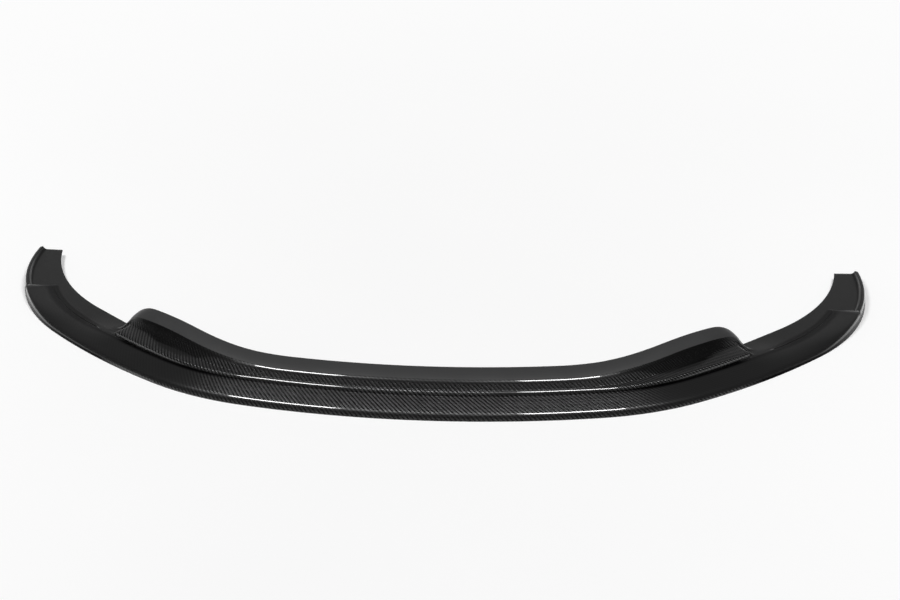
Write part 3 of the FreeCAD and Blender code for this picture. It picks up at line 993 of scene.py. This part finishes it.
def floor_paint(studio):
    """Matt pale paint; seen by the eye, or behind the part in a gloss, it stays pale away from the lamps.

    The lamps' pool of light fades as 1 / (1 + (r / R)^2)^2 at r from its middle, and the added light makes up
    for what is missing.
    """
    material, bench, shader = new_material("Pale floor")
    spot = bench.add("ShaderNodeTexCoord").outputs["Object"]
    mottle = bench.noise(spot, MOTTLE_SCALE, detail=3.0)
    bench.feed(shader.inputs["Base Color"], bench.shade(mottle, studio.floor_colour, FLOOR_SHADES))
    shader.inputs["Roughness"].default_value = FLOOR_ROUGHNESS
    shader.inputs["Specular IOR Level"].default_value = 0.0
    distance = bench.add("ShaderNodeVectorMath", operation="DISTANCE")
    bench.feed(distance.inputs[0], spot)
    bench.feed(distance.inputs[1], studio.pool_place)
    away = bench.math("DIVIDE", distance.outputs["Value"], studio.pool_reach)
    pool = bench.math("POWER", bench.math("MULTIPLY_ADD", away, away, 1.0), -2.0)
    far = bench.math("MULTIPLY", bench.rest(pool), studio.far_light)
    split = bench.add("ShaderNodeSeparateXYZ")
    bench.feed(split.inputs[0], spot)
    behind = bench.slope(split.outputs[1], *FLOOR_SEEN, 0.0, 1.0)
    rays = bench.add("ShaderNodeLightPath")
    mirrored = bench.math("MULTIPLY", rays.outputs["Is Glossy Ray"], behind)
    seen = bench.math("MAXIMUM", rays.outputs["Is Camera Ray"], mirrored)
    seen = bench.math("MAXIMUM", seen, rays.outputs["Is Transmission Ray"])
    shader.inputs["Emission Color"].default_value = WHITE
    bench.feed(shader.inputs["Emission Strength"], bench.math("MULTIPLY", far, seen))
    return material


def show(name, mesh):
    """New object for a mesh, in the scene."""
    piece = bpy.data.objects.new(name, mesh)
    bpy.context.scene.collection.objects.link(piece)
    return piece


class VALANCE_OT_shell(bpy.types.Operator):
    """Make the moulded shell in place of its plain solid"""

    bl_idname = "valance.shell"
    bl_label = "Moulded shell"

    def execute(self, context):
        plan = context.scene.lip_plan
        sec = context.scene.lip_section
        finish = context.scene.lip_finish
        points, cloth, home = shell_grid(plan, sec)
        rows, columns = points.shape[:2]
        quads, first, last = skin_faces(rows, columns)
        mesh = new_mesh("lip_shell", points.reshape(-1, 3), quads, [first, last])
        add_attribute(mesh, "cloth", "FLOAT_VECTOR", "vector", np.pad(cloth, ((0, 0), (0, 0), (0, 1))))
        for name, shares in finish_shares(plan, cloth, home).items():
            add_attribute(mesh, name, "FLOAT", "value", shares)
        for material in (coated_twill(finish), raw_laminate(finish), cut_laminate(finish)):
            mesh.materials.append(material)
        cut = ((home >= EDGE) & (home < INNER_CREST)) | (home >= INNER_FOOT) | (home == FOOT)
        kind = np.where(cut, CUT, np.where(home < EDGE, COATED, RAW))
        index = np.concatenate([np.tile(kind, rows - 1), [CUT, CUT]])
        mesh.polygons.foreach_set("material_index", index.astype(np.int32))
        smooth = np.ones(len(index), bool)
        smooth[-2:] = False
        mesh.polygons.foreach_set("use_smooth", smooth)
        piece = show("lip_shell", mesh)
        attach(piece, "root")
        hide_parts(SHELL_NODE)
        return {"FINISHED"}


class VALANCE_OT_studio(bpy.types.Operator):
    """Set up the floor, the lamps, the room and the camera"""

    bl_idname = "valance.studio"
    bl_label = "Studio"

    def execute(self, context):
        studio = context.scene.lip_studio
        self.floor(studio)
        self.lamp("left_soft_box", studio.left_lamp, -studio.lamp_turn, studio)
        self.lamp("right_soft_box", studio.right_lamp, studio.lamp_turn, studio)
        self.room(context.scene, studio)
        self.camera(context.scene, studio)
        context.scene.view_settings.view_transform = "Standard"
        return {"FINISHED"}

    def floor(self, studio):
        """Round floor: one face whose points lie at (r cos a, r sin a, 0), with even turns a."""
        turn = np.linspace(0.0, 2.0 * math.pi, FLOOR_POINTS, endpoint=False)
        ring = np.stack([np.cos(turn), np.sin(turn), np.zeros_like(turn)], axis=-1) * studio.floor_radius
        mesh = bpy.data.meshes.new("studio_floor")
        mesh.from_pydata(ring, [], [list(range(len(ring)))])
        mesh.materials.append(floor_paint(studio))
        show("studio_floor", mesh)

    def lamp(self, name, spot, turn, studio):
        """Soft box that faces the middle of the part, with its long side turned in plan."""
        light = bpy.data.lights.new(name, "AREA")
        light.shape = "RECTANGLE"
        light.size = studio.lamp_width
        light.size_y = studio.lamp_depth
        light.energy = studio.lamp_power
        back = Vector(spot).normalized()
        side = Vector((math.cos(turn), math.sin(turn), 0.0))
        side = (side - back * side.dot(back)).normalized()
        pose = Matrix((side, back.cross(side), back)).transposed().to_4x4()
        pose.translation = spot
        lamp = bpy.data.objects.new(name, light)
        lamp.matrix_world = pose
        bpy.context.scene.collection.objects.link(lamp)

    def room(self, scene, studio):
        """Room light: dim overhead, with a grey wall and a low pale backdrop behind the part."""
        world = bpy.data.worlds.new("studio_room")
        world.use_nodes = True
        world.node_tree.nodes.clear()
        bench = NodeBench(world.node_tree)
        way = bench.add("ShaderNodeSeparateXYZ")
        bench.feed(way.inputs[0], bench.add("ShaderNodeTexCoord").outputs["Generated"])
        low = bench.slope(way.outputs[2], *BACKDROP_HEIGHT, studio.backdrop_light, 0.0)
        low = bench.math("MULTIPLY", low, bench.slope(way.outputs[1], *BACKDROP_DEPTH, BACKDROP_FRONT, 1.0))
        wall = bench.slope(way.outputs[2], *WALL_HEIGHT, studio.wall_light, 0.0)
        behind = bench.slope(way.outputs[1], *WALL_DEPTH, 0.0, 1.0)
        light = bench.math("MULTIPLY_ADD", wall, behind, bench.math("ADD", low, studio.room_light))
        background = bench.add("ShaderNodeBackground")
        background.inputs["Color"].default_value = WHITE
        bench.feed(background.inputs["Strength"], light)
        bench.feed(bench.add("ShaderNodeOutputWorld").inputs["Surface"], background.outputs[0])
        scene.world = world

    def camera(self, scene, studio):
        """Camera at the viewing angle: right, up and back make its axes, leaned by the roll."""
        ahead = (Vector(studio.camera_aim) - Vector(studio.camera_place)).normalized()
        right = ahead.cross(Vector((0.0, 0.0, 1.0))).normalized()
        up = right.cross(ahead)
        lean = studio.camera_roll
        level = right * math.cos(lean) + up * math.sin(lean)
        upright = up * math.cos(lean) - right * math.sin(lean)
        view = Matrix((level, upright, -ahead)).transposed().to_4x4()
        view.translation = studio.camera_place
        data = bpy.data.cameras.new("studio_camera")
        data.lens = studio.lens
        data.sensor_fit = "HORIZONTAL"
        data.sensor_width = SENSOR_WIDTH
        camera = bpy.data.objects.new("studio_camera", data)
        camera.matrix_world = view
        scene.collection.objects.link(camera)
        scene.camera = camera


class VALANCE_PT_panel(bpy.types.Panel):
    """Makers and sizes of the valance lip"""

    bl_idname = "VALANCE_PT_panel"
    bl_label = "Valance Lip"
    bl_space_type = "VIEW_3D"
    bl_region_type = "UI"
    bl_category = "Valance Lip"

    def draw(self, context):
        layout = self.layout
        for maker in (VALANCE_OT_shell, VALANCE_OT_studio):
            layout.operator(maker.bl_idname)
        for name in GROUPS:
            box = layout.box()
            group = getattr(context.scene, name)
            for key in type(group).__annotations__:
                box.prop(group, key)


GROUPS = {
    "lip_plan": LipPlan,
    "lip_section": LipSection,
    "lip_finish": LipFinish,
    "lip_studio": LipStudio,
}
CLASSES = (*GROUPS.values(), VALANCE_OT_shell, VALANCE_OT_studio, VALANCE_PT_panel)


def register():
    for cls in CLASSES:
        bpy.utils.register_class(cls)
    for name, cls in GROUPS.items():
        setattr(bpy.types.Scene, name, bpy.props.PointerProperty(type=cls))


def unregister():
    for name in GROUPS:
        delattr(bpy.types.Scene, name)
    for cls in reversed(CLASSES):
        bpy.utils.unregister_class(cls)


def main():
    register()
    bpy.ops.valance.shell()
    bpy.ops.valance.studio()


if __name__ == "__main__":
    main()
